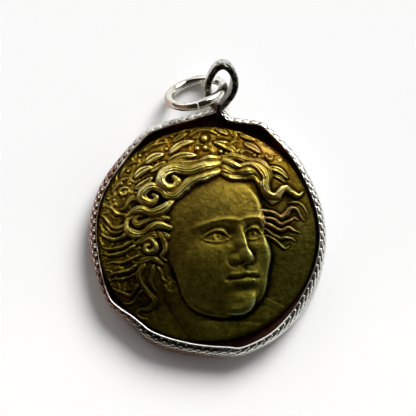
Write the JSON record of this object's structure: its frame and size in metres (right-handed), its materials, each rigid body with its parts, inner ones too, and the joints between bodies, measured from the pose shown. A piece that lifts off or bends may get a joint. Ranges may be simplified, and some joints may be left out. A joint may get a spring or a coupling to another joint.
{
  "type": "coin pendant",
  "caption": "Coin pendant: a toned brass coin with a raised head, held in a hand-bent milled silver strip that runs up into a hanging loop with a plain round jump ring.",
  "frame": {"origin": "centre of the coin's flat back, which is the surface the pendant rests on", "axes": "+Z out of the coin's face, +Y from the coin's middle towards the head's crown and the hanging loop, +X to the right seen from the face"},
  "size_m": [0.0261, 0.0329, 0.0058],
  "materials": {
    "coin_metal": "olive-brown toned brass, worn bright on the high points and dark in the recesses",
    "strip_metal": "milled silver, bright on the crests and tarnished in the notches",
    "ring_metal": "polished silver wire with fine scratches"
  },
  "bodies": {
    "root": {"coin": "coin_metal", "bezel_frame": "strip_metal", "jump_ring": "ring_metal"}
  },
  "joints": []
}
